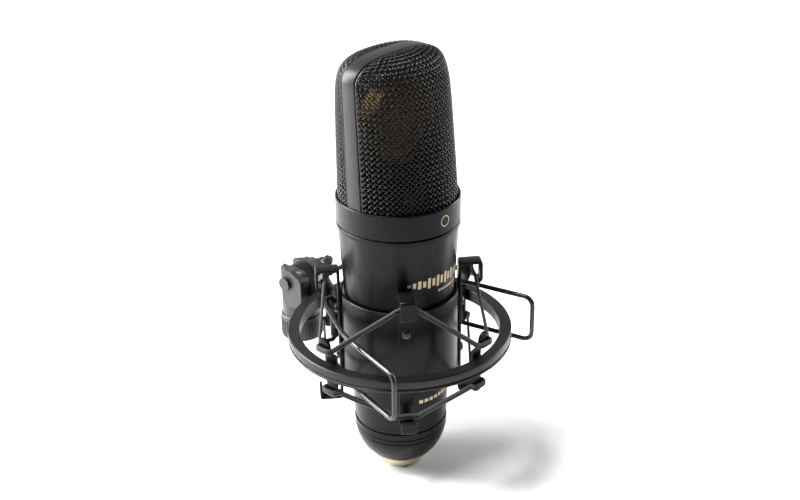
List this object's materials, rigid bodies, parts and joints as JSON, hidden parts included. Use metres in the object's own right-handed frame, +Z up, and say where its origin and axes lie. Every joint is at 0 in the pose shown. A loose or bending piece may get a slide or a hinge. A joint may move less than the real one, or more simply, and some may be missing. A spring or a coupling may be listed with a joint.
{
  "type": "condenser microphone",
  "caption": "Side-address condenser microphone with a domed woven-wire head, in an elastic spider shock mount with two squeeze handles and a swivelling stand socket.",
  "frame": {"origin": "on the floor plane, under the middle of the overall bounding box", "axes": "+Z up along the microphone's axis; the microphone's front faces -Y and the stand socket is on the +Y side"},
  "size_m": [0.0892, 0.1106, 0.1754],
  "materials": {
    "satin_black_metal": "satin black coat",
    "black_mesh": "black coated woven wire",
    "black_wire": "gloss black coat",
    "black_plastic": "moulded black plastic",
    "black_elastic": "braided elastic cord",
    "felt": "black felt",
    "rubber": "black rubber",
    "pale_gold": "pale gold plating",
    "gold_film": "thin gold film",
    "brass": "turned brass",
    "board_green": "solder mask",
    "steel": "zinc plated"
  },
  "bodies": {
    "microphone": {"end_cap": "satin_black_metal", "lock_ring": "satin_black_metal", "body_tube": "satin_black_metal", "collar": "satin_black_metal", "chassis_rail_left": "steel", "chassis_rail_right": "steel", "circuit_board": "board_green", "output_transformer": "steel", "coupling_capacitor": "black_plastic", "filter_capacitor": "black_plastic", "head_band": "satin_black_metal", "head_hoop": "satin_black_metal", "grille_front": "black_mesh", "grille_back": "black_mesh", "capsule_deck": "black_plastic", "capsule_saddle": "black_plastic", "capsule_backplate": "brass", "capsule_ring_front": "pale_gold", "capsule_ring_back": "pale_gold", "diaphragm_front": "gold_film", "diaphragm_back": "gold_film", "xlr_barrel": "pale_gold", "xlr_insert": "black_plastic", "xlr_pin_1": "pale_gold", "xlr_pin_2": "pale_gold", "xlr_pin_3": "pale_gold"},
    "cradle": {"cradle_sleeve": "satin_black_metal", "felt_lining": "felt", "hook_strap_front_left": "satin_black_metal", "hook_strap_front_right": "satin_black_metal", "hook_strap_rear_right": "satin_black_metal", "hook_strap_rear_left": "satin_black_metal", "rivet_front_left_upper": "black_wire", "rivet_front_left_lower": "black_wire", "rivet_front_right_upper": "black_wire", "rivet_front_right_lower": "black_wire", "rivet_rear_right_upper": "black_wire", "rivet_rear_right_lower": "black_wire", "rivet_rear_left_upper": "black_wire", "rivet_rear_left_lower": "black_wire"},
    "handle_left": {"handle_wire_left": "black_wire", "clamp_jaw_left": "satin_black_metal", "clamp_pad_left": "rubber"},
    "handle_right": {"handle_wire_right": "black_wire", "clamp_jaw_right": "satin_black_metal", "clamp_pad_right": "rubber"},
    "suspension_ring": {"outer_ring": "satin_black_metal", "ring_post_front": "satin_black_metal", "ring_post_right": "satin_black_metal", "ring_post_rear": "satin_black_metal", "ring_post_left": "satin_black_metal", "elastic_upper": "black_elastic", "elastic_lower": "black_elastic"},
    "stand_swivel": {"stand_adapter": "black_plastic", "pivot_bolt": "steel", "thread_bush": "brass"},
    "thumb_knob": {"wing_knob": "black_plastic"}
  },
  "joints": [
    {"name": "cradle_slide", "type": "slide", "parent": "microphone", "child": "cradle", "axis": [0, 0, -1], "range_m": [0, 0.026]},
    {"name": "handle_squeeze_left", "type": "hinge", "parent": "cradle", "child": "handle_left", "pos_m": [-0.0118, 0.0139, 0], "axis": [0, 0, 1], "range_deg": [0, 7], "stiffness_Nm_per_rad": 0.6, "springref_deg": -20.05},
    {"name": "handle_squeeze_right", "type": "hinge", "parent": "cradle", "child": "handle_right", "pos_m": [0.0118, 0.0139, 0], "axis": [0, 0, -1], "range_deg": [0, 7]},
    {"name": "ring_float", "type": "slide", "parent": "cradle", "child": "suspension_ring", "axis": [0, 0, 1], "range_m": [-0.003, 0.003], "stiffness_N_per_m": 800, "springref_m": 0.001, "deforming": ["elastic_upper", "elastic_lower"]},
    {"name": "stand_swivel_hinge", "type": "hinge", "parent": "suspension_ring", "child": "stand_swivel", "pos_m": [-0.00195, 0.04527, 0.0648], "axis": [0.9994, 0.0349, 0], "range_deg": [0, 100]},
    {"name": "thumb_knob_turn", "type": "hinge", "parent": "stand_swivel", "child": "thumb_knob", "pos_m": [-0.00195, 0.04527, 0.0648], "axis": [0.9994, 0.0349, 0], "continuous": true}
  ],
  "couplings": [
    {"joint": "handle_squeeze_right", "follows": "handle_squeeze_left", "ratio": 1}
  ]
}
